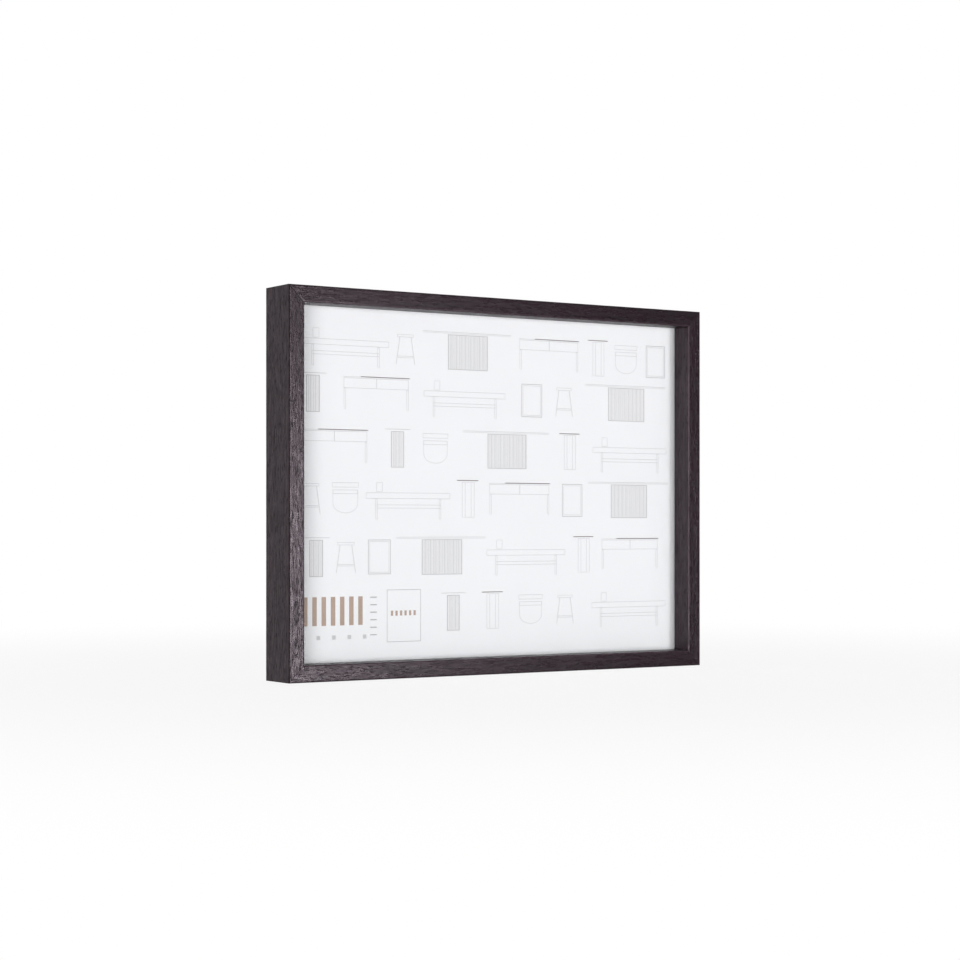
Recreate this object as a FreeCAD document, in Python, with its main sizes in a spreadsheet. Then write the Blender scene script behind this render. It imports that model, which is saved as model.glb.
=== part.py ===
import FreeCAD, Part
import math
import os
import Sketcher

# Deep shadow-box picture frame, landscape, for a 400 x 300 mm insert. Millimetres, +Z up.
# The front faces -Y. The origin is under the middle of the whole object, on the surface it stands on.
# Depths are counted backwards, along +Y, from the front face of the wooden frame.

# Driving dimensions, in millimetres.
DRIVING = {
    "insert_width": 400.0,
    "insert_height": 300.0,
    "fit_gap": 1.0,
    "wall_width": 8.0,
    "lip_overlap": 6.0,
    "lip_depth": 19.5,
    "front_arris": 1.2,
    "rear_arris": 0.6,
    "glass_thickness": 2.0,
    "glass_bevel": 0.3,
    "sheet_thickness": 0.4,
    "card_thickness": 2.1,
    "spacer_width": 5.0,
    "spacer_depth": 13.0,
    "panel_thickness": 3.0,
    "panel_gap": 0.5,
    "panel_bevel": 0.4,
    "button_width": 6.5,
    "button_reach": 13.5,
    "button_thickness": 1.0,
    "button_edge": 0.25,
    "button_spread_long": 200.0,
    "button_spread_short": 150.0,
    "screw_radius": 1.5,
    "screw_clearance": 0.08,
    "screw_depth": 11.0,
    "screw_tip": 1.1,
    "screw_head_radius": 2.6,
    "screw_head_height": 1.2,
    "screw_head_edge": 0.6,
    "screw_slot_width": 0.7,
    "screw_slot_length": 3.2,
    "screw_slot_depth": 0.7,
    "nail_leg": 7.0,
    "nail_thickness": 0.5,
    "nail_height": 10.0,
    "nail_sunk": 0.5,
    "nail_inset_rear": 3.2,
    "nail_inset_lip": 10.4,
    "hanger_spread": 220.0,
    "hanger_drop": 62.0,
    "strap_width": 8.0,
    "strap_length": 17.0,
    "strap_thickness": 1.2,
    "loop_thickness": 0.6,
    "rivet_drop": 7.0,
    "rivet_radius": 1.6,
    "rivet_head_radius": 2.8,
    "rivet_head_height": 0.9,
    "rivet_dome": 0.8,
    "ring_wire_radius": 0.8,
    "ring_clearance": 0.08,
    "ring_half_width": 6.5,
    "ring_corner": 2.0,
    "ring_side": 3.5,
    "bumper_thickness": 3.5,
    "bumper_foot_radius": 2.8,
    "bumper_face_radius": 2.4,
    "bumper_inset": 5.1,
    "bumper_from_end": 20.0,
}
CUT_MARGIN = 2.0
RING_TILT = 4.0  # degrees that a hanging ring stands off the panel, because it lies on the strap

doc = FreeCAD.newDocument("shadow_box")
sheet = doc.addObject("Spreadsheet::Sheet", "Sizes")
for row, (alias, value) in enumerate(DRIVING.items(), start=1):
    sheet.set(f"A{row}", alias.replace("_", " "))
    sheet.set(f"B{row}", str(value))
    sheet.setAlias(f"B{row}", alias)
doc.recompute()


class Size:
    """A length worked out from the sheet's cells: its formula, for an expression, and its value."""

    def __init__(self, formula, value):
        self.formula = formula
        self.value = value

    def joined(self, sign, other, value):
        return Size(f"({self.formula} {sign} {getattr(other, 'formula', other)})", value)

    def __add__(self, other):
        return self.joined("+", other, self.value + getattr(other, "value", other))

    def __sub__(self, other):
        return self.joined("-", other, self.value - getattr(other, "value", other))

    def __mul__(self, other):
        return self.joined("*", other, self.value * getattr(other, "value", other))

    def __truediv__(self, other):
        return self.joined("/", other, self.value / getattr(other, "value", other))

    def __neg__(self):
        return Size(f"(0 - {self.formula})", -self.value)


def cell(alias):
    return Size(f"Sizes.{alias}", DRIVING[alias])


def bind(thing, **sizes):
    """Sets properties of an object to sizes from the sheet."""
    for name, size in sizes.items():
        setattr(thing, name, size.value)
        thing.setExpression(name, size.formula)


def place(thing, x=None, y=None, z=None, turn=0.0):
    """Puts an object at x, y, z from the sheet, turned about the Y axis by some degrees."""
    axis = FreeCAD.Vector(0, 1, 0)
    base = FreeCAD.Vector(*(0 if size is None else size.value for size in (x, y, z)))
    thing.Placement = FreeCAD.Placement(base, FreeCAD.Rotation(axis, turn))
    for name, size in (("x", x), ("y", y), ("z", z)):
        if size is not None:
            thing.setExpression(f"Placement.Base.{name}", size.formula)


ZERO = Size("0", 0.0)
OPENING_WIDTH = cell("insert_width") + cell("fit_gap") * 2
OPENING_HEIGHT = cell("insert_height") + cell("fit_gap") * 2
OUTER_WIDTH = OPENING_WIDTH + cell("wall_width") * 2
OUTER_HEIGHT = OPENING_HEIGHT + cell("wall_width") * 2
FACE_WIDTH = cell("wall_width") + cell("lip_overlap")
MIDDLE = OUTER_HEIGHT / 2

SHEET_AT = cell("lip_depth") + cell("glass_thickness")
CARD_AT = SHEET_AT + cell("sheet_thickness")
SPACER_AT = CARD_AT + cell("card_thickness")
PANEL_AT = SPACER_AT + cell("spacer_depth")
RAIL_DEPTH = PANEL_AT + cell("panel_thickness")
FRONT = -(RAIL_DEPTH + cell("bumper_thickness")) / 2
BACK = FRONT + RAIL_DEPTH

# The four sides of the frame: name, turn about Y that brings the top side there, and outward direction.
SIDES = (
    ("top", 0.0, (0, 1)),
    ("right", 90.0, (1, 0)),
    ("bottom", 180.0, (0, -1)),
    ("left", -90.0, (-1, 0)),
)


def origin_plane(body, role):
    """One of a body's own origin planes, such as XZ_Plane."""
    return next(p for p in body.Origin.OriginFeatures if p.Role == role)


def new_body(label):
    body = doc.addObject("PartDesign::Body", label)
    body.Label = label
    body.AllowCompound = True
    return body


def new_sketch(body, name, role, depth=ZERO):
    """A sketch on one of the body's planes. On XZ_Plane its x is X, its y is Z, and depth is along +Y."""
    sketch = body.newObject("Sketcher::SketchObject", name)
    sketch.AttachmentSupport = [(origin_plane(body, role), "")]
    sketch.MapMode = "FlatFace"
    sketch.AttachmentOffset = FreeCAD.Placement(
        FreeCAD.Vector(0, 0, -depth.value), FreeCAD.Rotation()
    )
    sketch.setExpression("AttachmentOffset.Base.z", (-depth).formula)
    return sketch


def fix_point(sketch, index, end, x, y):
    """Holds one point of a sketch at x, y from the sketch's origin."""
    for kind, size in (("DistanceX", x), ("DistanceY", y)):
        number = sketch.addConstraint(Sketcher.Constraint(kind, -1, 1, index, end, size.value))
        sketch.setExpression(f"Constraints[{number}]", size.formula)


def draw_polygon(sketch, corners):
    """A closed outline through corners given as pairs of sizes."""
    points = [FreeCAD.Vector(x.value, y.value, 0) for x, y in corners]
    lines = [Part.LineSegment(a, b) for a, b in zip(points, points[1:] + points[:1])]
    first = sketch.addGeometry(lines[0])
    for line in lines[1:]:
        sketch.addGeometry(line)
    for step, (x, y) in enumerate(corners):
        following = first + (step + 1) % len(corners)
        sketch.addConstraint(Sketcher.Constraint("Coincident", first + step, 2, following, 1))
        fix_point(sketch, first + step, 1, x, y)


def draw_rectangle(sketch, x, y, width, height):
    """A rectangle centred on x, y."""
    left, right = x - width / 2, x + width / 2
    low, high = y - height / 2, y + height / 2
    draw_polygon(sketch, [(left, low), (right, low), (right, high), (left, high)])


def draw_circle(sketch, x, y, radius):
    circle = Part.Circle(FreeCAD.Vector(x.value, y.value, 0), FreeCAD.Vector(0, 0, 1), radius.value)
    index = sketch.addGeometry(circle)
    number = sketch.addConstraint(Sketcher.Constraint("Radius", index, radius.value))
    sketch.setExpression(f"Constraints[{number}]", radius.formula)
    fix_point(sketch, index, 3, x, y)


def draw_round_end(sketch, reach, radius):
    """A strip with two round ends, from the sketch's origin down to reach below it."""
    normal = FreeCAD.Vector(0, 0, 1)
    top = Part.Circle(FreeCAD.Vector(0, 0, 0), normal, radius.value)
    low = Part.Circle(FreeCAD.Vector(0, -reach.value, 0), normal, radius.value)
    upper = sketch.addGeometry(Part.ArcOfCircle(top, 0, math.pi))
    lower = sketch.addGeometry(Part.ArcOfCircle(low, math.pi, 2 * math.pi))
    sides = []
    for x in (-radius.value, radius.value):
        ends = FreeCAD.Vector(x, 0, 0), FreeCAD.Vector(x, -reach.value, 0)
        sides.append(sketch.addGeometry(Part.LineSegment(*ends)))
    joins = ((upper, 2, sides[0], 1), (lower, 1, sides[0], 2), (upper, 1, sides[1], 1), (lower, 2, sides[1], 2))
    for join in joins:
        sketch.addConstraint(Sketcher.Constraint("Tangent", *join))
    number = sketch.addConstraint(Sketcher.Constraint("Radius", upper, radius.value))
    sketch.setExpression(f"Constraints[{number}]", radius.formula)
    fix_point(sketch, upper, 3, ZERO, ZERO)
    fix_point(sketch, lower, 3, ZERO, -reach)


def pad(body, name, sketch, length, reverse=False, middle=False):
    feature = body.newObject("PartDesign::Pad", name)
    feature.Profile = sketch
    bind(feature, Length=length)
    feature.Reversed = reverse
    feature.Midplane = middle
    doc.recompute()
    return feature


def pocket(body, name, sketch, length=None, reverse=False):
    """Cuts a sketch out of the body, right through it both ways unless it has a length."""
    before = body.Shape.Volume
    feature = body.newObject("PartDesign::Pocket", name)
    feature.Profile = sketch
    if length is None:
        feature.Type = "ThroughAll"
        feature.Midplane = True
    else:
        bind(feature, Length=length)
        feature.Reversed = reverse
    doc.recompute()
    if body.Shape.Volume >= before:
        raise RuntimeError(f"{body.Label}: {name} cuts nothing")
    return feature


def dress(body, kind, name, edges, **sizes):
    """Rounds or bevels edges of the body's last feature: kind is Fillet or Chamfer."""
    base = body.Tip
    feature = body.newObject(f"PartDesign::{kind}", name)
    feature.Base = (base, edges)
    bind(feature, **sizes)
    doc.recompute()
    return feature


def edges_where(body, test):
    """The names of the edges of the body's last feature that pass a test of their middle and box."""
    found = []
    for number, edge in enumerate(body.Tip.Shape.Edges, start=1):
        if test(edge.BoundBox):
            found.append(f"Edge{number}")
    return found


def level_at(box, y=None, z=None):
    """True for an edge that lies all along at this y and this z of its own body."""
    near = 1e-4
    if y is not None and (abs(box.YMin - y) > near or abs(box.YMax - y) > near):
        return False
    return z is None or (abs(box.ZMin - z) < near and abs(box.ZMax - z) < near)


# Wooden frame: four mitred rails with one profile, a deep front lip and a rebate behind it.


def side_place(side, along=ZERO, inward=ZERO):
    """The x and z of a point on one side, so far along it and so far in from its outer face."""
    across, up = side[2]
    x = OUTER_WIDTH / 2 * across - inward * across + along * up
    z = MIDDLE + OUTER_HEIGHT / 2 * up - inward * up - along * across
    return x, z


def rail_blank(side):
    """One side of the frame, built as the top one: outer face at z 0, front at y 0, mitred ends."""
    length = OUTER_WIDTH if side[2][0] == 0 else OUTER_HEIGHT
    body = new_body(f"{side[0]}_blank")
    profile = new_sketch(body, f"{side[0]}_profile", "YZ_Plane")
    corners = [
        (ZERO, ZERO),
        (RAIL_DEPTH, ZERO),
        (RAIL_DEPTH, -cell("wall_width")),
        (cell("lip_depth"), -cell("wall_width")),
        (cell("lip_depth"), -FACE_WIDTH),
        (ZERO, -FACE_WIDTH),
    ]
    draw_polygon(profile, corners)
    pad(body, f"{side[0]}_length", profile, length, middle=True)
    face, depth = FACE_WIDTH.value, RAIL_DEPTH.value
    front = edges_where(body, lambda box: level_at(box, 0, 0) or level_at(box, 0, -face))
    dress(body, "Fillet", f"{side[0]}_front_arris", front, Radius=cell("front_arris"))
    rear = edges_where(body, lambda box: level_at(box, depth, 0))
    dress(body, "Fillet", f"{side[0]}_rear_arris", rear, Radius=cell("rear_arris"))
    mitre = new_sketch(body, f"{side[0]}_mitre", "XZ_Plane")
    past = Size(str(CUT_MARGIN), CUT_MARGIN)
    for sign in (-1, 1):
        tip = ((length / 2 + past) * sign, past)
        heel = ((length / 2 - FACE_WIDTH - past) * sign, -FACE_WIDTH - past)
        draw_polygon(mitre, [tip, heel, (tip[0], heel[1])])
    pocket(body, f"{side[0]}_mitre_cut", mitre)
    x, z = side_place(side)
    place(body, x, FRONT, z, side[1])
    return body


# Fasteners: V-shaped steel nails across the mitres, and a screw through each turn button.


def corner_nails():
    """Two L-shaped nails at each mitre: one in the rear wall, one in the lip under the rebate."""
    body = new_body("corner_v_nails")
    levels = (
        ("rear", cell("nail_inset_rear"), RAIL_DEPTH - cell("nail_sunk")),
        ("lip", cell("nail_inset_lip"), cell("lip_depth") - cell("nail_sunk")),
    )
    for name, inset, end in levels:
        outline = new_sketch(body, f"{name}_nail_outline", "XZ_Plane", end - cell("nail_height"))
        for across in (-1, 1):
            for up in (-1, 1):
                draw_nail(outline, inset, across, up)
        pad(body, f"{name}_nails", outline, cell("nail_height"), reverse=True)
    place(body, ZERO, FRONT, MIDDLE)
    return body


def draw_nail(sketch, inset, across, up):
    """An L with its corner on the mitre of one corner of the frame."""
    x = [OUTER_WIDTH / 2 - inset - step for step in nail_steps()]
    z = [OUTER_HEIGHT / 2 - inset - step for step in nail_steps()]
    outline = ((0, 0), (2, 0), (2, 1), (1, 1), (1, 2), (0, 2))
    draw_polygon(sketch, [(x[i] * across, z[j] * up) for i, j in outline])


def nail_steps():
    return ZERO, cell("nail_thickness"), cell("nail_leg")


def button_places():
    """Each turn button's name, its side and its place along the side."""
    found = []
    for side in SIDES:
        spread = "button_spread_long" if side[2][0] == 0 else "button_spread_short"
        for number, sign in enumerate((-1, 1), start=1):
            found.append((f"turn_button_{side[0]}_{number}", side, cell(spread) / 2 * sign))
    return found


def button_screws():
    """A pan-head wood screw with a cross recess through every turn button into the frame."""
    body = new_body("turn_button_screws")
    centres = []
    for _, side, along in button_places():
        x, z = side_place(side, along, cell("wall_width") / 2)
        centres.append((x, z - MIDDLE))
    head_at = RAIL_DEPTH + cell("button_thickness") + cell("screw_clearance") * 2
    shank = new_sketch(body, "screw_shanks", "XZ_Plane", RAIL_DEPTH - cell("screw_depth"))
    head = new_sketch(body, "screw_heads", "XZ_Plane", head_at)
    for x, z in centres:
        draw_circle(shank, x, z, cell("screw_radius"))
        draw_circle(head, x, z, cell("screw_head_radius"))
    pad(body, "screw_shank_pad", shank, head_at - RAIL_DEPTH + cell("screw_depth"), reverse=True)
    tip_y = (RAIL_DEPTH - cell("screw_depth")).value
    tips = edges_where(body, lambda box: level_at(box, tip_y))
    dress(body, "Chamfer", "screw_tips", tips, Size=cell("screw_tip"))
    pad(body, "screw_head_pad", head, cell("screw_head_height"), reverse=True)
    top_y = (head_at + cell("screw_head_height")).value
    rims = edges_where(body, lambda box: level_at(box, top_y))
    dress(body, "Fillet", "screw_head_edges", rims, Radius=cell("screw_head_edge"))
    recess_at = head_at + cell("screw_head_height") - cell("screw_slot_depth")
    for name, width, height in (
        ("level", "screw_slot_length", "screw_slot_width"),
        ("upright", "screw_slot_width", "screw_slot_length"),
    ):
        slot = new_sketch(body, f"recess_{name}", "XZ_Plane", recess_at)
        for x, z in centres:
            draw_rectangle(slot, x, z, cell(width), cell(height))
        pocket(body, f"recess_{name}_cut", slot, cell("screw_slot_depth"))
    place(body, ZERO, FRONT, MIDDLE)
    return body


def wooden_frame():
    """The four rails, with the places of the nails and screws cut out of them."""
    nails, screws = corner_nails(), button_screws()
    blanks = [rail_blank(side) for side in SIDES]
    fasteners = doc.addObject("Part::Compound", "fasteners")
    fasteners.Links = [nails, screws]
    rails = []
    for side, blank in zip(SIDES, blanks):
        kind = "rail" if side[2][0] == 0 else "stile"
        rail = doc.addObject("Part::Cut", f"{side[0]}_{kind}")
        rail.Base = blank
        rail.Tool = fasteners
        rail.Label = f"{side[0]}_{kind}"
        rails.append(rail)
    return rails + [nails, screws]


# What lies in the rebate: glass, insert, backing card, spacer strips and back panel.


def slab(label, width, height, thickness, depth, x=ZERO, z=None):
    """A plain rectangular board, centred on x and z, whose front lies at this depth."""
    box = doc.addObject("Part::Box", label)
    box.Label = label
    bind(box, Length=width, Width=thickness, Height=height)
    centre = MIDDLE if z is None else z
    place(box, x - width / 2, FRONT + depth, centre - height / 2)
    return box


def glass_pane():
    body = new_body("glass_pane")
    outline = new_sketch(body, "glass_outline", "XZ_Plane")
    draw_rectangle(outline, ZERO, ZERO, cell("insert_width"), cell("insert_height"))
    pad(body, "glass", outline, cell("glass_thickness"), reverse=True)
    thick = cell("glass_thickness").value
    rims = edges_where(body, lambda box: level_at(box, 0) or level_at(box, thick))
    dress(body, "Chamfer", "glass_swiped_edges", rims, Size=cell("glass_bevel"))
    place(body, ZERO, FRONT + cell("lip_depth"), MIDDLE)
    return body


def spacer_strips():
    """Four strips round the rebate that keep the backing card forward of the panel."""
    width = OPENING_WIDTH - cell("panel_gap") * 2
    height = OPENING_HEIGHT - cell("panel_gap") * 2
    strip, deep = cell("spacer_width"), cell("spacer_depth")
    made = []
    for name, sign in (("top", 1), ("bottom", -1)):
        z = MIDDLE + (height - strip) / 2 * sign
        made.append(slab(f"{name}_spacer", width, strip, deep, SPACER_AT, z=z))
    for name, sign in (("left", -1), ("right", 1)):
        x = (width - strip) / 2 * sign
        made.append(slab(f"{name}_spacer", strip, height - strip * 2, deep, SPACER_AT, x=x))
    return made


def hanger_places():
    """The x of each wall hanger, with its name."""
    return [("left", -cell("hanger_spread") / 2), ("right", cell("hanger_spread") / 2)]


def rivet_level():
    """How far the rivets are above the middle of the frame."""
    return OUTER_HEIGHT / 2 - cell("hanger_drop") - cell("rivet_drop")


def back_panel():
    """Fibreboard panel, flush with the back of the rails, drilled for the hangers' rivets."""
    body = new_body("back_panel")
    outline = new_sketch(body, "panel_outline", "XZ_Plane")
    width = OPENING_WIDTH - cell("panel_gap") * 2
    height = OPENING_HEIGHT - cell("panel_gap") * 2
    draw_rectangle(outline, ZERO, ZERO, width, height)
    pad(body, "panel", outline, cell("panel_thickness"), reverse=True)
    thick = cell("panel_thickness").value
    rims = edges_where(body, lambda box: level_at(box, thick))
    dress(body, "Chamfer", "panel_rear_bevel", rims, Size=cell("panel_bevel"))
    holes = new_sketch(body, "rivet_holes", "XZ_Plane")
    for _, x in hanger_places():
        draw_circle(holes, x, rivet_level(), cell("rivet_radius"))
    pocket(body, "rivet_holes_cut", holes)
    place(body, ZERO, FRONT + PANEL_AT, MIDDLE)
    return body


# Moving pieces: turn buttons that hold the panel, and D-rings in their folded straps.


def turn_button(label, side, along):
    """A flat steel strip with round ends on a screw. At rest it reaches inwards over the panel."""
    body = new_body(label)
    outline = new_sketch(body, f"{label}_outline", "XZ_Plane")
    draw_round_end(outline, cell("button_reach"), cell("button_width") / 2)
    pad(body, f"{label}_plate", outline, cell("button_thickness"), reverse=True)
    thick = cell("button_thickness").value
    rims = edges_where(body, lambda box: level_at(box, thick))
    dress(body, "Fillet", f"{label}_rim", rims, Radius=cell("button_edge"))
    hole = new_sketch(body, f"{label}_hole", "XZ_Plane")
    draw_circle(hole, ZERO, ZERO, cell("screw_radius") + cell("screw_clearance"))
    pocket(body, f"{label}_hole_cut", hole)
    x, z = side_place(side, along, cell("wall_width") / 2)
    place(body, x, BACK + cell("screw_clearance"), z, side[1])
    return body


def loop_centre():
    """How far the ring's bar is behind the panel: it lies in a loop that is folded from the strap."""
    return cell("loop_thickness") + cell("ring_clearance") + cell("ring_wire_radius")


def hanger_strap(name, x):
    """A steel strap riveted to the panel, folded into a loop for the ring at its upper end."""
    body = new_body(f"hanger_strap_{name}")
    outline = new_sketch(body, f"{name}_strap_outline", "XZ_Plane")
    radius = cell("strap_width") / 2
    draw_round_end(outline, cell("strap_length") - radius, radius)
    pad(body, f"{name}_strap_plate", outline, cell("strap_thickness"), reverse=True)
    trim = new_sketch(body, f"{name}_strap_trim", "XZ_Plane")
    draw_rectangle(trim, ZERO, radius, radius * 3, radius * 2)
    pocket(body, f"{name}_strap_square_end", trim)
    barrel = new_sketch(body, f"{name}_loop_outside", "YZ_Plane")
    draw_circle(barrel, loop_centre(), ZERO, loop_centre())
    pad(body, f"{name}_loop", barrel, cell("strap_width"), middle=True)
    bore = new_sketch(body, f"{name}_loop_inside", "YZ_Plane")
    draw_circle(bore, loop_centre(), ZERO, cell("ring_wire_radius") + cell("ring_clearance"))
    pocket(body, f"{name}_loop_bore", bore)
    hole = new_sketch(body, f"{name}_rivet_hole", "XZ_Plane")
    draw_circle(hole, ZERO, -cell("rivet_drop"), cell("rivet_radius"))
    pocket(body, f"{name}_rivet_hole_cut", hole)
    place(body, x, BACK, OUTER_HEIGHT - cell("hanger_drop"))
    return body


def hanger_ring(name, x):
    """A D-ring of round wire: a bar, two tight corners, two short sides and a half circle.
    It is built hanging down, with the bar's middle at its own origin."""
    half, corner, side = cell("ring_half_width"), cell("ring_corner"), cell("ring_side")
    wire = cell("ring_wire_radius")
    pieces = [wire_run(f"{name}_ring_bar", wire, (half - corner) * 2, corner - half, ZERO, "x")]
    for sign in (-1, 1):
        label = f"{name}_ring_{'left' if sign < 0 else 'right'}"
        pieces.append(wire_run(f"{label}_side", wire, side, half * sign, -corner - side, "z"))
        turn = 90.0 if sign < 0 else 0.0
        bend = wire_bend(f"{label}_corner", corner, wire, 90.0)
        place_bend(bend, (half - corner) * sign, -corner, turn)
        pieces.append(bend)
    bow = wire_bend(f"{name}_ring_bow", half, wire, 180.0)
    place_bend(bow, ZERO, -corner - side, 180.0)
    ring = doc.addObject("Part::MultiFuse", f"hanger_ring_{name}")
    ring.Label = f"hanger_ring_{name}"
    ring.Shapes = pieces + [bow]
    ring.Refine = True
    place(ring, x, BACK + loop_centre(), OUTER_HEIGHT - cell("hanger_drop"))
    ring.Placement.Rotation = FreeCAD.Rotation(FreeCAD.Vector(1, 0, 0), RING_TILT)
    return ring


def wire_run(label, radius, length, x, z, along):
    """A straight stretch of the ring's wire from x, z, along x or up z."""
    run = doc.addObject("Part::Cylinder", label)
    bind(run, Radius=radius, Height=length)
    place(run, x, None, z, 90.0 if along == "x" else 0.0)
    return run


def wire_bend(label, bend_radius, wire_radius, angle):
    """A bend of the ring's wire, that many degrees round."""
    bend = doc.addObject("Part::Torus", label)
    bind(bend, Radius1=bend_radius, Radius2=wire_radius)
    bend.Angle3 = angle
    return bend


def place_bend(bend, x, z, start):
    """Stands a bend up in the XZ plane, with its first end that many degrees up from +X."""
    stand = FreeCAD.Rotation(FreeCAD.Vector(1, 0, 0), 90.0)
    spin = FreeCAD.Rotation(FreeCAD.Vector(0, 1, 0), -start)
    bend.Placement = FreeCAD.Placement(FreeCAD.Vector(x.value, 0, z.value), spin * stand)
    bend.setExpression("Placement.Base.x", x.formula)
    bend.setExpression("Placement.Base.z", z.formula)


def hanger_rivets():
    """A domed rivet through each strap and the panel, clenched on the inside."""
    body = new_body("hanger_rivets")
    inside = PANEL_AT - cell("rivet_head_height")
    outside = RAIL_DEPTH + cell("strap_thickness")
    levels = (
        ("clench", inside, "rivet_head_radius", cell("rivet_head_height")),
        ("shank", PANEL_AT, "rivet_radius", outside - PANEL_AT),
        ("head", outside, "rivet_head_radius", cell("rivet_head_height")),
    )
    for name, start, radius, length in levels:
        outline = new_sketch(body, f"rivet_{name}_outline", "XZ_Plane", start)
        for _, x in hanger_places():
            draw_circle(outline, x, rivet_level(), cell(radius))
        pad(body, f"rivet_{name}", outline, length, reverse=True)
    top_y = (outside + cell("rivet_head_height")).value
    rims = edges_where(body, lambda box: level_at(box, top_y))
    dress(body, "Fillet", "rivet_dome", rims, Radius=cell("rivet_dome"))
    place(body, ZERO, FRONT, MIDDLE)
    return body


def wall_bumpers():
    """Four rubber feet on the backs of the stiles that keep the frame off the wall."""
    feet = []
    for side in SIDES:
        if side[2][0] == 0:
            continue
        for sign in (-1, 1):
            foot = doc.addObject("Part::Cone", f"bumper_{side[0]}_{'low' if sign < 0 else 'high'}")
            bind(foot, Radius1=cell("bumper_foot_radius"), Radius2=cell("bumper_face_radius"))
            bind(foot, Height=cell("bumper_thickness"))
            along = OUTER_HEIGHT / 2 - cell("bumper_from_end")
            x, z = side_place(side, along * sign, cell("bumper_inset"))
            place(foot, x, BACK, z)
            foot.Placement.Rotation = FreeCAD.Rotation(FreeCAD.Vector(1, 0, 0), -90.0)
            feet.append(foot)
    group = doc.addObject("Part::Compound", "wall_bumpers")
    group.Label = "wall_bumpers"
    group.Links = feet
    return group


def build():
    """Every sub-part of the frame, in the order in which it is put together."""
    parts = wooden_frame()
    parts.append(glass_pane())
    insert = cell("insert_width"), cell("insert_height")
    parts.append(slab("insert_sheet", *insert, cell("sheet_thickness"), SHEET_AT))
    parts.append(slab("backing_card", *insert, cell("card_thickness"), CARD_AT))
    parts += spacer_strips()
    parts.append(back_panel())
    parts += [turn_button(*button) for button in button_places()]
    for name, x in hanger_places():
        parts.append(hanger_strap(name, x))
        parts.append(hanger_ring(name, x))
    parts.append(hanger_rivets())
    parts.append(wall_bumpers())
    return parts


def check(parts):
    """Stops if any object failed, or any sub-part is empty or not valid."""
    for thing in doc.Objects:
        if {"Invalid", "Error"} & set(thing.State):
            raise RuntimeError(f"{thing.Label} failed: {thing.State}")
    for part in parts:
        if part.Shape.isNull() or not part.Shape.isValid() or not part.Shape.Solids:
            raise RuntimeError(f"{part.Label} has no valid solid")


sub_parts = build()
doc.recompute()
check(sub_parts)
os.makedirs("parts", exist_ok=True)
for sub_part in sub_parts:
    sub_part.Shape.exportStep(f"parts/{sub_part.Label}.step")
    box = sub_part.Shape.BoundBox
    solids = len(sub_part.Shape.Solids)
    print(f"{sub_part.Label}: {solids} solid, volume {sub_part.Shape.Volume:.1f} mm3,", end=" ")
    print(f"x {box.XMin:.2f}..{box.XMax:.2f} y {box.YMin:.2f}..{box.YMax:.2f}", end=" ")
    print(f"z {box.ZMin:.2f}..{box.ZMax:.2f}")
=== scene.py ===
import math

import bmesh
import bpy
import numpy as np
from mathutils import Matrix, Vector


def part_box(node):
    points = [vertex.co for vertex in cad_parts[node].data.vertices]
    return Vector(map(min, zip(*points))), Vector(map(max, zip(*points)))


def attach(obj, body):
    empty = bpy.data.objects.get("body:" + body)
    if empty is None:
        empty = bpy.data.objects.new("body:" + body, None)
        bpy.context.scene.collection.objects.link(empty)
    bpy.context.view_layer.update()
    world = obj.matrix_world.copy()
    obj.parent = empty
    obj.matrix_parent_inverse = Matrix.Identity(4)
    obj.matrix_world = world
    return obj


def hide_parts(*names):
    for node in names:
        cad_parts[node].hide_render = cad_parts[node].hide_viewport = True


# The looks of a deep shadow-box frame, in metres, in the CAD model's own frame: +X right, +Z up,
# the glass side faces -Y. Places and sizes come from the CAD nodes' boxes.

MM = 0.001
ROOT = "frame"

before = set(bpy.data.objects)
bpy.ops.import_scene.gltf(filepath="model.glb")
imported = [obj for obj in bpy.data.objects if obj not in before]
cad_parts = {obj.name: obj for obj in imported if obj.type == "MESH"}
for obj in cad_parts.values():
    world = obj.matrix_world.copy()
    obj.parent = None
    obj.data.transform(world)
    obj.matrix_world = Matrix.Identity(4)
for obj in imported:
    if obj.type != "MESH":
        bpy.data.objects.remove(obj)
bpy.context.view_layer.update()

# Sizes that the whole script works from.

rail_low, rail_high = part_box("top_rail")
stile_low, stile_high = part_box("left_stile")
glass_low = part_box("glass_pane")[0]
sheet_low, sheet_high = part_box("insert_sheet")
panel_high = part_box("back_panel")[1]

FRONT = rail_low.y
BACK = rail_high.y
RAIL_DEPTH = BACK - FRONT
OUTER_WIDTH = rail_high.x - rail_low.x
OUTER_HEIGHT = stile_high.z - stile_low.z
MIDDLE = OUTER_HEIGHT / 2
FACE_WIDTH = rail_high.z - rail_low.z
LIP_DEPTH = glass_low.y - FRONT
PANEL_GAP = 0.5 * MM
WALL_WIDTH = OUTER_WIDTH / 2 - panel_high.x - PANEL_GAP
FRONT_ARRIS = 1.2 * MM
REAR_ARRIS = 0.6 * MM


# ---------------------------------------------------------------- node helpers


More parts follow.
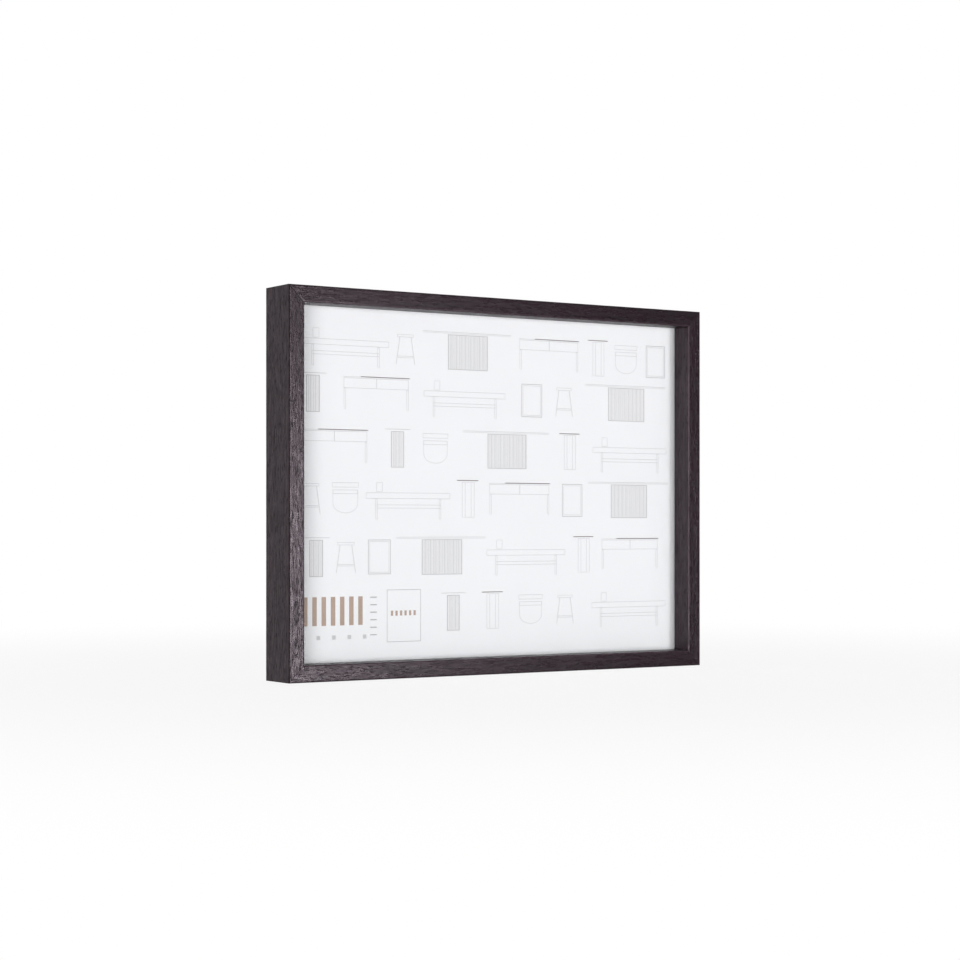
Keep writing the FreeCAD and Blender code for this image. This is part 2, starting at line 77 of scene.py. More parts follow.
class Nodes:
    """A material's node tree with short calls for the nodes that the materials share."""

    def __init__(self, name):
        self.material = bpy.data.materials.new(name)
        self.material.use_nodes = True
        self.tree = self.material.node_tree
        self.tree.nodes.clear()
        self.output = self.add("ShaderNodeOutputMaterial")

    def add(self, kind, inputs=None, **settings):
        node = self.tree.nodes.new(kind)
        for name, value in settings.items():
            setattr(node, name, value)
        for name, value in (inputs or {}).items():
            self.feed(node.inputs[name], value)
        return node

    def feed(self, socket, value):
        if isinstance(value, bpy.types.NodeSocket):
            self.tree.links.new(value, socket)
        else:
            socket.default_value = value

    def object_point(self, scale, shift=0.0):
        """The point on the object, stretched: scale is per metre along x, y and z."""
        place = self.add("ShaderNodeTexCoord").outputs["Object"]
        inputs = {"Vector": place, "Scale": scale, "Location": [shift] * 3}
        return self.add("ShaderNodeMapping", inputs).outputs["Vector"]

    def noise(self, scale, detail=3.0, roughness=0.55, distortion=0.0, shift=0.0):
        inputs = {
            "Vector": self.object_point(scale, shift),
            "Scale": 1.0,
            "Detail": detail,
            "Roughness": roughness,
            "Distortion": distortion,
        }
        return self.add("ShaderNodeTexNoise", inputs).outputs["Fac"]

    def ramp(self, value, low, high, bottom=0.0, top=1.0):
        """value from low to high becomes bottom to top, with a smooth start and end."""
        names = ("From Min", "From Max", "To Min", "To Max")
        inputs = {"Value": value, **dict(zip(names, (low, high, bottom, top)))}
        node = self.add("ShaderNodeMapRange", inputs, interpolation_type="SMOOTHSTEP")
        return node.outputs["Result"]

    def maths(self, operation, a, b):
        node = self.add("ShaderNodeMath", operation=operation)
        self.feed(node.inputs[0], a)
        self.feed(node.inputs[1], b)
        return node.outputs["Value"]

    def mix(self, factor, first, second):
        node = self.add("ShaderNodeMix", data_type="RGBA")
        self.feed(node.inputs["Factor"], factor)
        self.feed(node.inputs["A"], first)
        self.feed(node.inputs["B"], second)
        return node.outputs["Result"]

    def bump(self, height, distance, strength):
        inputs = {"Height": height, "Distance": distance, "Strength": strength}
        return self.add("ShaderNodeBump", inputs).outputs["Normal"]

    def surface(self, **inputs):
        """Ends the material with a Principled shader. Input names are written with underscores."""
        named = {name.replace("_", " "): value for name, value in inputs.items()}
        shader = self.add("ShaderNodeBsdfPrincipled", named)
        self.feed(self.output.inputs["Surface"], shader.outputs["BSDF"])
        return self.material


def rgb(red, green, blue):
    return red, green, blue, 1.0


# ------------------------------------------------------------------- materials


def stained_wood(name, axis, shift):
    """Dark espresso stain over open, brushed grain that runs along one axis: 0 is X and 2 is Z."""
    nodes = Nodes(name)

    def grain(length, width, **settings):
        """Noise with features this long and this wide, in millimetres."""
        scale = [1 / (width * MM)] * 3
        scale[axis] = 1 / (length * MM)
        return nodes.noise(scale, shift=shift, **settings)

    figure = grain(150, 14, detail=2.0, distortion=0.8)
    streaks = grain(16, 2.6, detail=4.0, roughness=0.62, distortion=0.5)
    fibres = grain(9, 0.6, detail=3.0, roughness=0.7)
    pore = nodes.ramp(grain(6, 1.1, detail=1.5, distortion=0.35), 0.55, 0.66)
    arris_wear_and_highlight = nodes.add("ShaderNodeAttribute", attribute_name="arris_wear_and_highlight").outputs["Fac"]
    inner_wall_painted_light = nodes.add("ShaderNodeAttribute", attribute_name="inner_wall_painted_light").outputs["Fac"]
    outside = nodes.add("ShaderNodeAttribute", attribute_name="outside").outputs["Fac"]

    dark = rgb(0.0080, 0.0036, 0.0054)
    brown = rgb(0.0170, 0.0082, 0.0123)
    light = rgb(0.050, 0.031, 0.040)
    colour = nodes.mix(nodes.ramp(figure, 0.28, 0.66), dark, brown)
    colour = nodes.mix(nodes.ramp(streaks, 0.48, 0.78, 0.0, 0.60), colour, light)
    # Painted light: the inner wall faces are mixed towards a lighter brown, standing in for light
    # from the left and bounce off the paper.
    colour = nodes.mix(nodes.maths("MULTIPLY", inner_wall_painted_light, 0.22), colour, rgb(0.056, 0.032, 0.045))
    colour = nodes.mix(nodes.ramp(fibres, 0.35, 0.65, 0.30, 0.0), colour, dark)
    colour = nodes.mix(nodes.maths("MULTIPLY", pore, 0.80), colour, rgb(0.003, 0.0015, 0.002))
    # Lighter arrises: edge wear, together with a painted highlight along the front inner arris.
    colour = nodes.mix(nodes.maths("MULTIPLY", arris_wear_and_highlight, 0.40), colour, rgb(0.070, 0.048, 0.058))

    rough = nodes.ramp(streaks, 0.36, 0.66, 0.37, 0.21)
    rough = nodes.maths("ADD", rough, nodes.maths("MULTIPLY", pore, 0.20))
    rough = nodes.maths("ADD", rough, nodes.maths("MULTIPLY", outside, 0.12))
    rough = nodes.maths("ADD", rough, nodes.maths("MULTIPLY", inner_wall_painted_light, 0.14))
    height = nodes.maths("ADD", streaks, nodes.maths("MULTIPLY", fibres, 0.22))
    height = nodes.maths("SUBTRACT", height, nodes.maths("MULTIPLY", pore, 0.30))
    normal = nodes.bump(height, 0.27 * MM, 0.85)
    return nodes.surface(
        Base_Color=colour,
        Roughness=rough,
        Normal=normal,
        Specular_IOR_Level=0.44,
        Specular_Tint=rgb(1.0, 0.88, 0.97),
    )


# The share of light that the glass mirrors when seen square on, what is added edge on, and how
# steeply the second grows with the angle.
MIRROR_SQUARE_ON = 0.035
MIRROR_EDGE_ON = 0.96
MIRROR_GROWTH = 5.0


def clear_glass():
    """A thin clear pane: what is behind shows through, and a share that grows with the angle
    mirrors."""
    nodes = Nodes("clear_glass")
    patches = nodes.noise([20.0] * 3, detail=1.0)
    tint = nodes.mix(patches, rgb(0.985, 0.992, 0.99), rgb(0.98, 0.99, 0.988))
    through = nodes.add("ShaderNodeBsdfTransparent", {"Color": tint})
    smear = nodes.ramp(nodes.noise([9.0, 9.0, 22.0], detail=4.0), 0.35, 0.8, 0.015, 0.05)
    mirror = nodes.add("ShaderNodeBsdfGlossy", {"Color": rgb(1, 1, 1), "Roughness": smear})
    facing = nodes.add("ShaderNodeLayerWeight", {"Blend": 0.5}).outputs["Facing"]
    growth = nodes.maths("POWER", facing, MIRROR_GROWTH)
    grazing = nodes.maths("MULTIPLY", growth, MIRROR_EDGE_ON)
    share = nodes.maths("ADD", grazing, MIRROR_SQUARE_ON)
    both = nodes.add("ShaderNodeMixShader", {"Fac": share})
    nodes.feed(both.inputs[1], through.outputs["BSDF"])
    nodes.feed(both.inputs[2], mirror.outputs["BSDF"])
    nodes.feed(nodes.output.inputs["Surface"], both.outputs["Shader"])
    return nodes.material


def paper(name, colour, amount=0.05):
    """Matt coated paper, or ink on it, with a faint fibre mottle."""
    nodes = Nodes(name)
    mottle = nodes.noise([1400.0] * 3, detail=4.0, roughness=0.7)
    cloud = nodes.noise([14.0] * 3, detail=2.0)
    darker = tuple(c * (1 - amount) for c in colour[:3]) + (1.0,)
    tone = nodes.mix(nodes.ramp(mottle, 0.35, 0.65), darker, colour)
    tone = nodes.mix(nodes.ramp(cloud, 0.3, 0.7, 0.0, 0.35), tone, darker)
    normal = nodes.bump(mottle, 0.012 * MM, 0.4)
    return nodes.surface(Base_Color=tone, Roughness=0.62, Normal=normal, Specular_IOR_Level=0.3)


def kraft_card():
    nodes = Nodes("kraft_card")
    fibre = nodes.noise([260.0, 260.0, 900.0], detail=5.0, roughness=0.7)
    fleck = nodes.ramp(nodes.noise([900.0] * 3, detail=1.0), 0.62, 0.70)
    colour = nodes.mix(nodes.ramp(fibre, 0.3, 0.7), rgb(0.36, 0.235, 0.13), rgb(0.48, 0.33, 0.20))
    colour = nodes.mix(nodes.maths("MULTIPLY", fleck, 0.5), colour, rgb(0.20, 0.12, 0.06))
    normal = nodes.bump(fibre, 0.05 * MM, 0.6)
    return nodes.surface(Base_Color=colour, Roughness=0.85, Normal=normal)


def bare_softwood():
    nodes = Nodes("bare_softwood")
    rings = nodes.noise([60.0, 420.0, 420.0], detail=3.0, distortion=0.4)
    fibres = nodes.noise([150.0, 2600.0, 2600.0], detail=3.0)
    colour = nodes.mix(nodes.ramp(rings, 0.35, 0.7), rgb(0.62, 0.47, 0.30), rgb(0.45, 0.29, 0.15))
    colour = nodes.mix(nodes.ramp(fibres, 0.4, 0.7, 0.3, 0.0), colour, rgb(0.35, 0.22, 0.11))
    normal = nodes.bump(fibres, 0.06 * MM, 0.5)
    return nodes.surface(Base_Color=colour, Roughness=0.7, Normal=normal)


def fibreboard():
    """Brown hardboard: pressed fibres of many sizes, with darker flecks and a slight sheen."""
    nodes = Nodes("fibreboard")
    cloud = nodes.noise([22.0] * 3, detail=3.0)
    wool = nodes.noise([520.0, 520.0, 240.0], detail=6.0, roughness=0.75, distortion=1.2)
    fleck = nodes.ramp(nodes.noise([700.0, 700.0, 300.0], detail=2.0, distortion=0.8), 0.62, 0.72)
    pale = nodes.ramp(nodes.noise([480.0, 480.0, 900.0], detail=2.0, distortion=1.0), 0.66, 0.76)
    mottle = nodes.ramp(wool, 0.3, 0.7)
    colour = nodes.mix(mottle, rgb(0.125, 0.072, 0.038), rgb(0.235, 0.145, 0.082))
    colour = nodes.mix(nodes.ramp(cloud, 0.35, 0.7, 0.0, 0.35), colour, rgb(0.16, 0.092, 0.048))
    colour = nodes.mix(nodes.maths("MULTIPLY", fleck, 0.7), colour, rgb(0.055, 0.030, 0.016))
    colour = nodes.mix(nodes.maths("MULTIPLY", pale, 0.5), colour, rgb(0.36, 0.25, 0.15))
    rough = nodes.ramp(wool, 0.3, 0.7, 0.62, 0.46)
    normal = nodes.bump(wool, 0.08 * MM, 0.5)
    return nodes.surface(Base_Color=colour, Roughness=rough, Normal=normal)


def zinc_steel(name, scale):
    """Bright zinc plate: fine brushing along the longer scale, and faint cloudy patches."""
    nodes = Nodes(name)
    brush = nodes.noise(scale, detail=3.0, roughness=0.6)
    cloud = nodes.noise([160.0] * 3, detail=4.0, roughness=0.65)
    speck = nodes.ramp(nodes.noise([1300.0] * 3, detail=1.0), 0.66, 0.74)
    colour = nodes.mix(nodes.ramp(cloud, 0.35, 0.68), rgb(0.50, 0.51, 0.53), rgb(0.70, 0.71, 0.73))
    colour = nodes.mix(nodes.maths("MULTIPLY", speck, 0.35), colour, rgb(0.30, 0.29, 0.28))
    brushed = nodes.ramp(brush, 0.3, 0.7, 0.20, 0.34)
    clouded = nodes.ramp(cloud, 0.3, 0.7, 0.10, 0.0)
    rough = nodes.maths("ADD", brushed, clouded)
    normal = nodes.bump(brush, 0.012 * MM, 0.5)
    return nodes.surface(Base_Color=colour, Metallic=1.0, Roughness=rough, Normal=normal)


def black_rubber():
    nodes = Nodes("black_rubber")
    grain = nodes.noise([1500.0] * 3, detail=3.0, roughness=0.7)
    bloom = nodes.noise([220.0] * 3, detail=3.0)
    dusty = nodes.ramp(bloom, 0.35, 0.7)
    colour = nodes.mix(dusty, rgb(0.012, 0.012, 0.013), rgb(0.030, 0.030, 0.031))
    normal = nodes.bump(grain, 0.04 * MM, 0.7)
    return nodes.surface(Base_Color=colour, Roughness=0.78, Normal=normal)


# ----------------------------------------------------------------- mesh helpers


def new_piece(name, vertices, faces, material, smooth_below=None):
    """A mesh piece from points and faces that rides on the root body."""
    mesh = bpy.data.meshes.new(name)
    mesh.from_pydata([tuple(v) for v in vertices], [], faces)
    mesh.validate()
    mesh.materials.append(material)
    if smooth_below is not None:
        mesh.shade_smooth()
        mesh.set_sharp_from_angle(angle=math.radians(smooth_below))
    piece = bpy.data.objects.new(name, mesh)
    bpy.context.scene.collection.objects.link(piece)
    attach(piece, ROOT)
    return piece


def smooth_noise(x, y, seed):
    """Smooth noise from 0 to 1 on a lattice of one unit, the same for the same seed."""
    size = 256
    table = np.random.RandomState(seed).random_sample((size, size))
    column, row = np.floor(x).astype(int), np.floor(y).astype(int)
    u, v = x - column, y - row
    u, v = u * u * (3 - 2 * u), v * v * (3 - 2 * v)

    def at(i, j):
        return table[(column + i) % size, (row + j) % size]

    low = at(0, 0) * (1 - u) + at(1, 0) * u
    high = at(0, 1) * (1 - u) + at(1, 1) * u
    return low * (1 - v) + high * v


def grain_relief(along, around, seed):
    """How deep the brushed grain lies under the surface, in metres, from places in metres."""
    wander = 4.0 * MM * smooth_noise(along / (55 * MM), around / (30 * MM), seed)
    ridges = smooth_noise(along / (24 * MM), (around + wander) / (1.3 * MM), seed + 1)
    flakes = smooth_noise(along / (5.5 * MM), (around + wander) / (1.7 * MM), seed + 2)
    return (0.038 * ridges ** 2 + 0.058 * flakes ** 1.5) * MM


# ------------------------------------------------------------------- wood rails

PROFILE_STEP = 0.62 * MM
STATION_STEP = 1.9 * MM
JOINT_STATION = 0.35 * MM
JOINT_EASE = 0.07 * MM
HIDDEN_EDGE = 0.4 * MM
SMOOTH_BELOW_DEGREES = 42


def arc_points(centre, radius, start, end, steps, wear_and_highlight):
    """Points (inward, depth, wear and painted highlight) on an arc between two angles in degrees.
    """
    found = []
    for step in range(steps + 1):
        angle = math.radians(start + (end - start) * step / steps)
        inward = centre[0] + radius * math.cos(angle)
        found.append((inward, centre[1] + radius * math.sin(angle), wear_and_highlight))
    return found


def straight_points(start, end, step):
    """Points (inward, depth, wear and painted highlight) between two points, without either end."""
    across, back = end[0] - start[0], end[1] - start[1]
    count = max(1, round(math.hypot(across, back) / step))
    return [
        (start[0] + across * i / count, start[1] + back * i / count, 0.0) for i in range(1, count)
    ]


def rail_profile():
    """The closed outline of a rail's section. Inward is from its outer face and depth from its
    front."""
    front, rear = FRONT_ARRIS, REAR_ARRIS
    # The third value lightens the wood there: edge wear and a painted highlight, full on the front
    # inner arris where a bright line of light shows.
    turns = [
        arc_points((front, front), front, 180, 270, 5, 0.15),
        arc_points((FACE_WIDTH - front, front), front, 270, 360, 5, 1.0),
        [(FACE_WIDTH, LIP_DEPTH, 0.0)],
        [(WALL_WIDTH, LIP_DEPTH, 0.0)],
        [(WALL_WIDTH, RAIL_DEPTH, 0.4)],
        arc_points((rear, RAIL_DEPTH - rear), rear, 90, 180, 3, 0.15),
    ]
    steps = (PROFILE_STEP, PROFILE_STEP, 3 * MM, 6 * MM, PROFILE_STEP, PROFILE_STEP)
    outline = []
    for number, (turn, step) in enumerate(zip(turns, steps)):
        following = turns[(number + 1) % len(turns)][0]
        outline += turn + straight_points(turn[-1], following, step)
    return np.array(outline)


def rail_stations(length):
    """Places along a rail as shares of its half length, from -1 to 1, closer together at the
    mitres."""
    count = round(length / STATION_STEP)
    shares = np.linspace(-1, 1, count + 1)
    near = JOINT_STATION / (length / 2)
    return np.concatenate([[-1, -1 + near], shares[1:-1], [1 - near, 1]])


def rail_piece(node, length, turn, centre, material, seed):
    """One side of the frame, with its grain cut into the mesh, in place of a CAD rail.
    It is built as the top rail about its own middle and turned about Y by some degrees."""
    outline = rail_profile()
    inward, depth = outline[:, 0], outline[:, 1]
    ahead, behind = np.roll(outline, -1, axis=0), np.roll(outline, 1, axis=0)
    tangent = (ahead - behind)[:, :2]
    tangent /= np.linalg.norm(tangent, axis=1)[:, None]
    into = np.stack([-tangent[:, 1], tangent[:, 0]], axis=1)
    around = np.cumsum(np.hypot(inward - behind[:, 0], depth - behind[:, 1]))

    shares = rail_stations(length)
    before_rebate = depth < LIP_DEPTH - HIDDEN_EDGE
    shown = before_rebate | (inward < WALL_WIDTH - HIDDEN_EDGE)
    points = []
    for share in shares:
        along = share * (length / 2 - inward)
        cut = grain_relief(along + length, around, seed) * shown
        if abs(share) == 1:
            cut = np.maximum(cut, JOINT_EASE)
        i, d = inward + into[:, 0] * cut, depth + into[:, 1] * cut
        points.append(np.stack([share * (length / 2 - i), FRONT + d, -i], axis=1))
    ring, rings = len(outline), len(shares)
    faces = []
    for r in range(rings - 1):
        for p in range(ring):
            q = (p + 1) % ring
            faces.append((r * ring + p, r * ring + q, (r + 1) * ring + q, (r + 1) * ring + p))
    faces.append(tuple(range(ring - 1, -1, -1)))
    faces.append(tuple((rings - 1) * ring + p for p in range(ring)))

    angle = math.radians(turn)
    x, y, z = np.concatenate(points).T
    sine, cosine = math.sin(angle), math.cos(angle)
    turned = np.stack([x * cosine + z * sine, y, z * cosine - x * sine])
    vertices = turned.T + np.array([centre[0], 0, centre[1]])
    piece = new_piece(
        f"wood_{node}", vertices, faces, material, SMOOTH_BELOW_DEGREES
    )
    within = 0.2 * MM
    zones = {
        # How much the wood is lightened at each point: edge wear and a painted highlight.
        "arris_wear_and_highlight": outline[:, 2],
        # The inner wall faces: the wood paints them lighter as painted light, and makes them
        # rougher.
        "inner_wall_painted_light": (np.abs(inward - FACE_WIDTH) < within) & (depth > FRONT_ARRIS),
        "outside": (inward < within) & (depth > FRONT_ARRIS),
    }
    for name, amount in zones.items():
        zone = piece.data.attributes.new(name, "FLOAT", "POINT")
        zone.data.foreach_set("value", np.tile(amount.astype(np.float32), rings))
    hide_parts(node)


def wooden_frame():
    across = stained_wood("stained_wood_across", 0, 3.7)
    upright = stained_wood("stained_wood_upright", 2, 41.3)
    half_width, half_height = OUTER_WIDTH / 2, OUTER_HEIGHT / 2
    rail_piece("top_rail", OUTER_WIDTH, 0, (0, MIDDLE + half_height), across, 11)
    rail_piece("bottom_rail", OUTER_WIDTH, 180, (0, MIDDLE - half_height), across, 23)
    rail_piece("left_stile", OUTER_HEIGHT, -90, (-half_width, MIDDLE), upright, 37)
    rail_piece("right_stile", OUTER_HEIGHT, 90, (half_width, MIDDLE), upright, 59)


# ---------------------------------------------------------- insert and its print

SHEET_BEHIND_GLASS = 0.10 * MM
SHEET_CORNER = 0.8 * MM
INK_THICKNESS = 0.008 * MM
LAYER_STEP = 0.018 * MM
SHAPE_STEP = 0.002 * MM


def insert_sheet(material):
    """The printed sheet, a hair behind the glass, with cut corners a little soft."""
    outline = []
    for sign_x, sign_z, start in ((1, 1, 0), (-1, 1, 90), (-1, -1, 180), (1, -1, 270)):
        x = sign_x * (sheet_high.x - SHEET_CORNER)
        z = MIDDLE + sign_z * (sheet_high.z - MIDDLE - SHEET_CORNER)
        for step in range(4):
            angle = math.radians(start + 30 * step)
            across, up = SHEET_CORNER * math.cos(angle), SHEET_CORNER * math.sin(angle)
            outline.append((x + across, z + up))
    count = len(outline)
    levels = (sheet_low.y + SHEET_BEHIND_GLASS, sheet_high.y)
    vertices = [(x, y, z) for y in levels for x, z in outline]
    faces = [tuple(range(count)), tuple(reversed(range(count, 2 * count)))]
    for i in range(count):
        j = (i + 1) % count
        faces.append((i, count + i, count + j, j))
    piece = new_piece("printed_sheet", vertices, faces, material)
    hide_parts("insert_sheet")


class Ink:
    """Flat printed shapes of one ink, in millimetres from the middle of the sheet. Inks that cross
    lie in layers, 1 the lowest, and shapes of one ink that follow each other lie a hair apart."""

    def __init__(self, layer):
        self.layer = layer
        self.shapes = 0
        self.vertices = []
        self.faces = []

    def shape(self, corners):
        """A flat shape with straight sides, its corners anticlockwise or clockwise."""
        first, count = len(self.vertices), len(corners)
        lift = self.layer * LAYER_STEP + self.shapes % 4 * SHAPE_STEP
        self.shapes += 1
        for y in (-lift, -lift - INK_THICKNESS):
            self.vertices += [(x * MM, y, z * MM) for x, z in corners]
        self.faces.append(tuple(first + i for i in range(count)))
        self.faces.append(tuple(first + count + i for i in reversed(range(count))))
        for i in range(count):
            j = (i + 1) % count
            self.faces.append((first + i, first + count + i, first + count + j, first + j))

    def block(self, x, z, width, height):
        """A filled rectangle from its left end and its top."""
        self.shape([(x, z), (x, z - height), (x + width, z - height), (x + width, z)])

    def line(self, start, end, width):
        """A straight stroke."""
        run, rise = end[0] - start[0], end[1] - start[1]
        length = math.hypot(run, rise)
        a, b = -rise / length * width / 2, run / length * width / 2
        (x, z), (u, w) = start, end
        self.shape([(x + a, z + b), (x - a, z - b), (u - a, w - b), (u + a, w + b)])

    def outline(self, x, z, width, height, stroke):
        """An unfilled rectangle from its left end and its top."""
        self.block(x, z, width, stroke)
        self.block(x, z - height + stroke, width, stroke)
        self.block(x, z - stroke, stroke, height - 2 * stroke)
        self.block(x + width - stroke, z - stroke, stroke, height - 2 * stroke)

    def path(self, points, stroke):
        for start, end in zip(points, points[1:]):
            self.line(start, end, stroke)

    def piece(self, name, material):
        surface = sheet_low.y + SHEET_BEHIND_GLASS
        placed = [(x, surface + y, MIDDLE + z) for x, y, z in self.vertices]
        made = new_piece(name, placed, self.faces, material)
        mesh = bmesh.new()
        mesh.from_mesh(made.data)
        bmesh.ops.recalc_face_normals(mesh, faces=mesh.faces)
        mesh.to_mesh(made.data)
        mesh.free()


HAIR = 0.34
inks = {name: Ink(layer) for layer, name in enumerate(("fill", "slat", "pale", "grey"), start=1)}
inks["dark"] = Ink(4)
inks["tan"] = Ink(4)


def bench(x, z):
    """A long low table with a shelf, and a small box standing on it."""
    inks["pale"].outline(x + 10, z - 0.5, 6, 8, HAIR)
    inks["pale"].outline(x, z - 9, 82, 5, HAIR)
    inks["pale"].outline(x + 9, z - 19, 64, 3, HAIR)
    for leg in (9, 71):
        inks["pale"].outline(x + leg, z - 14, 2, 17, HAIR)


def stool(x, z):
    """A splayed stool with a rung."""
    inks["pale"].outline(x + 1, z - 2, 16, 2.4, HAIR)
    for side in (-1, 1):
        foot = x + 9 + side * 9
        inks["pale"].line((x + 9 + side * 5.5, z - 4.4), (foot, z - 27), HAIR * 1.5)
    inks["pale"].outline(x + 1.8, z - 20, 14.4, 1.6, HAIR)


def tub_chair(x, z):
    """A round-bottomed easy chair with two bands across its back."""
    inks["pale"].outline(x, z - 1, 25, 4, HAIR)
    inks["pale"].outline(x + 0.8, z - 7, 23.4, 3.4, HAIR)
    bowl = []
    for step in range(13):
        angle = math.pi + math.pi * step / 12
        bowl.append((x + 12.5 + 11.7 * math.cos(angle), z - 18 + 8 * math.sin(angle)))
    inks["pale"].path([(x + 0.8, z - 7)] + bowl + [(x + 24.2, z - 7)], HAIR)


def picture(x, z):
    """A small portrait frame with a double line."""
    inks["grey"].outline(x, z, 21.5, 28.5, HAIR * 1.3)
    inks["pale"].outline(x + 1.4, z - 1.4, 18.7, 25.7, HAIR)


def slats(x, z, width, height, count):
    """An upright rank of slats in two greys, darker at its edges."""
    inks["fill"].block(x, z, width, height)
    pitch = width / count
    for number in range(count):
        stroke = 0.30 + 0.16 * ((number * 7) % 3)
        inks["slat"].block(x + (number + 0.3) * pitch, z, stroke, height)
    inks["grey"].outline(x, z, width, height, HAIR * 1.2)


def slatted_cabinet(x, z):
    inks["pale"].block(x - 25, z + 2.2, 89, 0.4)
    inks["pale"].block(x - 25, z + 1.1, 89, 0.3)
    slats(x, z, 40, 29.5, 26)


def narrow_cabinet(x, z):
    inks["pale"].block(x - 6, z + 2, 25, 0.5)
    slats(x, z, 12.5, 30, 8)


def desk(x, z):
    """A desk with two drawers; the right part of its top is drawn dark."""
    inks["pale"].block(x, z, 64, HAIR)
    inks["dark"].block(x + 17, z + 0.5, 47, 0.75)
    inks["pale"].outline(x + 1, z - 1, 62, 8.5, HAIR)
    inks["grey"].block(x + 32, z - 1, HAIR, 8.5)
    for leg in (1, 61):
        inks["pale"].outline(x + leg, z - 9.5, 2, 17, HAIR)


def side_table(x, z):
    """A narrow pedestal under a dark top."""
    inks["dark"].block(x, z + 2.3, 21.5, 0.75)
    inks["pale"].outline(x + 5, z + 0.6, 12.5, 30, HAIR)
    inks["pale"].block(x + 8, z, HAIR, 29)
    inks["pale"].block(x + 14, z, HAIR, 29)


# The rows of the print, from the top: the height of a row over the middle, then each drawing and
# the place of its left end.
ROWS = (
    (128, (
        (bench, -186), (stool, -97), (slatted_cabinet, -46), (desk, 26), (side_table, 100),
        (tub_chair, 129), (picture, 164),
    )),
    (89, (
        (narrow_cabinet, -182), (desk, -148), (bench, -70), (picture, 29), (stool, 65),
        (slatted_cabinet, 122),
    )),
    (45, (
        (desk, -188), (narrow_cabinet, -102), (tub_chair, -71), (slatted_cabinet, -6),
        (side_table, 69), (bench, 105),
    )),
    (3, (
        (stool, -187), (tub_chair, -158), (bench, -126), (side_table, -37), (desk, -5),
        (picture, 72), (slatted_cabinet, 125),
    )),
    (-45, (
        (narrow_cabinet, -179), (stool, -154), (picture, -124), (slatted_cabinet, -72),
        (bench, -7), (side_table, 84), (desk, 114),
    )),
    (-92, (
        (narrow_cabinet, -47), (side_table, -12), (tub_chair, 26), (stool, 66), (bench, 104),
    )),
)


def corner_marks():
    """Plain ornaments in the lower left corner: tan bars, pale dots, grey dashes, and a box with
    small tan bars in it."""
    for number in range(7):
        inks["tan"].block(-185 + number * 8.6, -91.5, 4.2, 23.5)
    for number in range(5):
        inks["pale"].block(-187 + number * 14.5, -123, 3.4, 3.4)
    for number in range(6):
        inks["grey"].block(-122, -92 - number * 6.2, 6.2, 0.9)
    inks["grey"].outline(-106, -86.5, 33, 43.5, HAIR * 1.2)
    for number in range(6):
        inks["tan"].block(-102.2 + number * 4.4, -104, 2.2, 4.2)


def printed_insert():
    insert_sheet(paper("printed_paper", rgb(0.925, 0.908, 0.932)))
    for height, drawings in ROWS:
        for draw, left in drawings:
            draw(left, height)
    corner_marks()
    tones = {
        "pale": rgb(0.66, 0.645, 0.66),
        "grey": rgb(0.50, 0.485, 0.50),
        "fill": rgb(0.895, 0.875, 0.893),
        "slat": rgb(0.70, 0.68, 0.69),
        "dark": rgb(0.28, 0.24, 0.24),
        "tan": rgb(0.52, 0.385, 0.32),
    }
    for name, ink in inks.items():
        ink.piece(f"print_{name}", paper(f"ink_{name}", tones[name], 0.12))


# -------------------------------------------------------------- carried-over parts


def paint(node, material):
    """Gives a CAD node its material."""
    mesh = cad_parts[node].data
    mesh.materials.clear()
    mesh.materials.append(material)


def carried_parts():
    """Every CAD node that shows as it is, with a procedural material."""
    paint("glass_pane", clear_glass())
    paint("backing_card", kraft_card())
    softwood = bare_softwood()
    for side in ("top", "bottom", "left", "right"):
        paint(f"{side}_spacer", softwood)
    paint("back_panel", fibreboard())
    steel = zinc_steel("zinc_steel", [2600.0, 2600.0, 300.0])
    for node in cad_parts:
        if node.startswith(("turn_button", "hanger", "corner")):
            paint(node, steel)
    paint("wall_bumpers", black_rubber())


# ------------------------------------------------------------------------- stage


# From this far towards the front to this far towards the wall, the surround brightens from low
# to high.
SURROUND_FADE = (-0.4, 0.7, 0.09, 0.66)


def surround():
    """A white surround for the camera, and a dimmer one that lights the object and shows in its
    gloss."""
    world = bpy.data.worlds.new("surround")
    bpy.context.scene.world = world
    world.use_nodes = True
    nodes, links = world.node_tree.nodes, world.node_tree.links
    nodes.clear()
    seen = nodes.new("ShaderNodeBackground")
    seen.inputs["Color"].default_value = rgb(1, 1, 1)
    lit = nodes.new("ShaderNodeBackground")
    lit.inputs["Color"].default_value = rgb(1.0, 0.955, 0.985)
    direction = nodes.new("ShaderNodeTexCoord")
    parts = nodes.new("ShaderNodeSeparateXYZ")
    fade = nodes.new("ShaderNodeMapRange")
    links.new(direction.outputs["Generated"], parts.inputs["Vector"])
    links.new(parts.outputs["Y"], fade.inputs["Value"])
    for name, value in zip(("From Min", "From Max", "To Min", "To Max"), SURROUND_FADE):
        fade.inputs[name].default_value = value
    links.new(fade.outputs["Result"], lit.inputs["Strength"])
    path = nodes.new("ShaderNodeLightPath")
    both = nodes.new("ShaderNodeMixShader")
    out = nodes.new("ShaderNodeOutputWorld")
    links.new(path.outputs["Is Camera Ray"], both.inputs["Fac"])
    links.new(lit.outputs["Background"], both.inputs[1])
    links.new(seen.outputs["Background"], both.inputs[2])
    links.new(both.outputs["Shader"], out.inputs["Surface"])


FLOOR_HALF = 30.0
# From this near to this far from the middle, the floor goes from mostly to wholly white.
FLOOR_FADE = (0.25, 1.1, 0.88, 1.0)


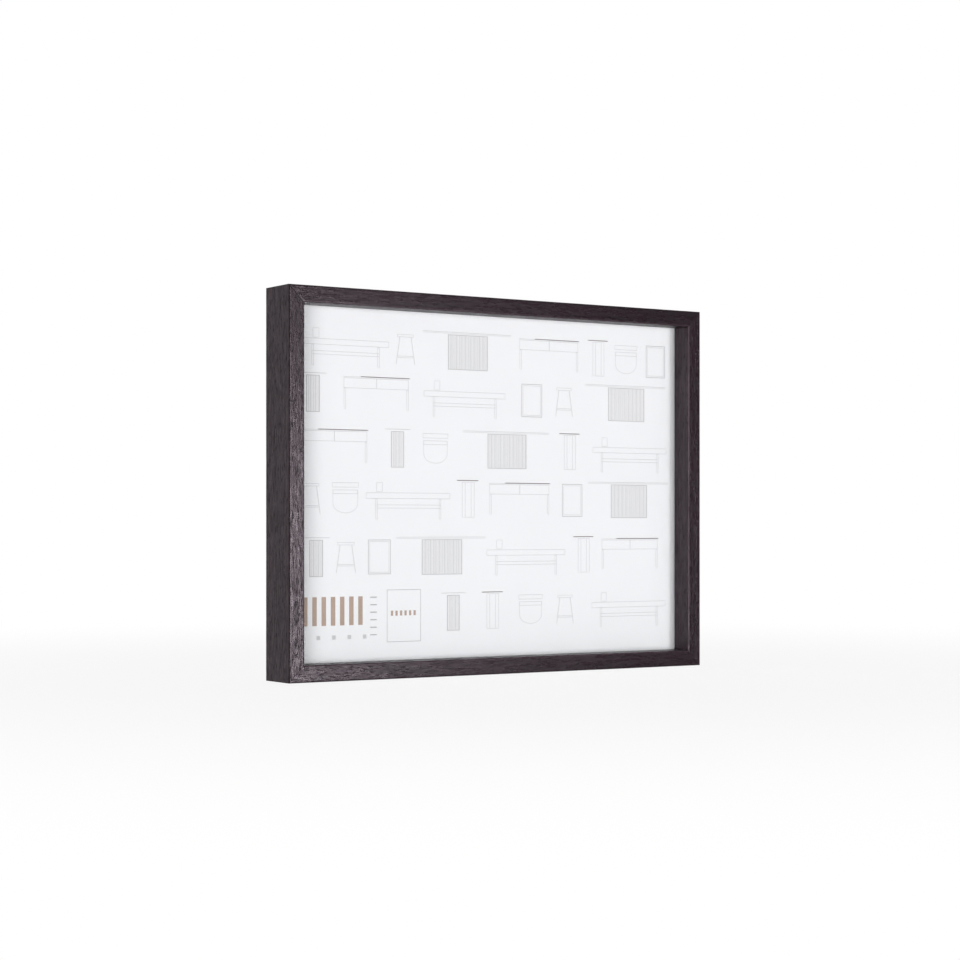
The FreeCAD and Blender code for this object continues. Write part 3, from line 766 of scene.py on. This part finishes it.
def pale_floor():
    """A pale floor that turns white away from the object. It casts no shadow and isn't mirrored."""
    half = FLOOR_HALF
    mesh = bpy.data.meshes.new("floor")
    corners = [(-half, -half, 0), (half, -half, 0), (half, half, 0), (-half, half, 0)]
    mesh.from_pydata(corners, [], [(0, 1, 2, 3)])
    floor = bpy.data.objects.new("floor", mesh)
    bpy.context.scene.collection.objects.link(floor)
    floor.visible_glossy = False
    floor.visible_shadow = False
    pale = Nodes("pale_floor")
    matt = pale.add("ShaderNodeBsdfDiffuse", {"Color": rgb(0.93, 0.93, 0.94)})
    glow = pale.add("ShaderNodeEmission", {"Color": rgb(1, 1, 1), "Strength": 1.0})
    seen = pale.add("ShaderNodeLightPath").outputs["Is Camera Ray"]
    reach = pale.add("ShaderNodeVectorMath", operation="LENGTH")
    pale.feed(reach.inputs[0], pale.object_point([1, 1, 1]))
    fade = pale.ramp(reach.outputs["Value"], *FLOOR_FADE)
    both = pale.add("ShaderNodeMixShader", {"Fac": pale.maths("MULTIPLY", seen, fade)})
    pale.feed(both.inputs[1], matt.outputs["BSDF"])
    pale.feed(both.inputs[2], glow.outputs["Emission"])
    pale.feed(pale.output.inputs["Surface"], both.outputs["Shader"])
    mesh.materials.append(pale.material)


def softbox(name, azimuth, elevation, distance, width, height, power):
    """A soft light that faces the middle of the frame. Azimuth 0 is straight in front and 90 is
    at +X."""
    turn, rise = math.radians(azimuth), math.radians(elevation)
    middle = Vector((0, FRONT, MIDDLE))
    level = math.cos(rise)
    away = Vector((math.sin(turn) * level, -math.cos(turn) * level, math.sin(rise)))
    data = bpy.data.lights.new(name, "AREA")
    data.shape = "RECTANGLE"
    data.size = width
    data.size_y = height
    data.energy = power
    light = bpy.data.objects.new(name, data)
    light.location = middle + away * distance
    light.rotation_euler = away.to_track_quat("Z", "Y").to_euler()
    light.visible_camera = False
    bpy.context.scene.collection.objects.link(light)
    return light


def studio():
    bpy.context.scene.view_settings.view_transform = "Standard"
    surround()
    pale_floor()
    softbox("key_softbox", 17.8, -5.5, 1.96, 0.35, 0.70, 12.0)
    softbox("front_softbox", 2, 0, 4.0, 1.9, 1.1, 48.0)
    # This one lights the paper but is kept out of the gloss, where it would whiten the outer side.
    fill = softbox("left_softbox", -44, 0, 6.0, 2.4, 1.4, 182.0)
    fill.visible_glossy = False
    softbox("rear_softbox", 160, 25, 2.2, 1.6, 1.2, 9.0)


def camera():
    """Left of the frame and a little under its middle, level, looking 33 degrees to the right of
    square."""
    data = bpy.data.cameras.new("camera")
    data.sensor_width = 36.0
    data.lens = 81.3
    data.shift_y = 0.0473
    data.clip_end = 200.0
    eye = bpy.data.objects.new("camera", data)
    eye.location = (-1.025, FRONT - 1.5243, MIDDLE - 0.0332)
    eye.rotation_euler = (math.radians(90), 0, math.radians(-33.19))
    bpy.context.scene.collection.objects.link(eye)
    bpy.context.scene.camera = eye


camera()
studio()
wooden_frame()
printed_insert()
carried_parts()
